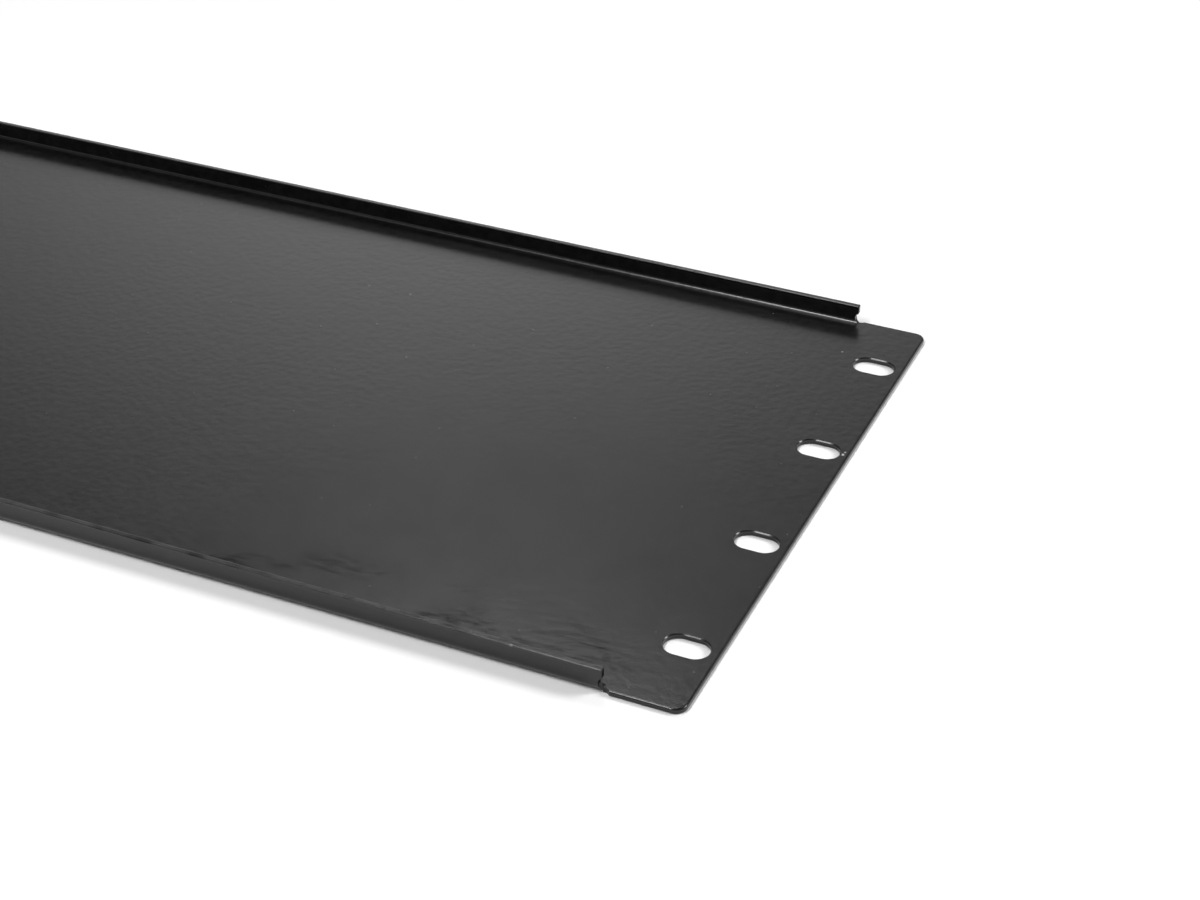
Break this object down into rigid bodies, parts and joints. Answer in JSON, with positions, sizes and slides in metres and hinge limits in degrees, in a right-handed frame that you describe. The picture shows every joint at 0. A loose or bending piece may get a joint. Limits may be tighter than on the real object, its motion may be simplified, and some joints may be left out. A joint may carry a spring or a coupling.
{
  "type": "rack blanking panel",
  "caption": "Flanged steel blanking panel for a 19-inch rack: a flat satin black sheet with its long edges folded back and slotted ears for the rack screws.",
  "frame": {"origin": "middle of the front face, the face that shows when the panel is in the rack and that the panel lies on here", "axes": "+X along the panel from ear to ear, +Y across it (up or down the rack), +Z from the front face to the back, the way the flanges point"},
  "size_m": [0.4826, 0.177, 0.0067],
  "materials": {
    "coated_steel": "satin"
  },
  "bodies": {
    "root": {"blanking_panel": "coated_steel"}
  },
  "joints": []
}
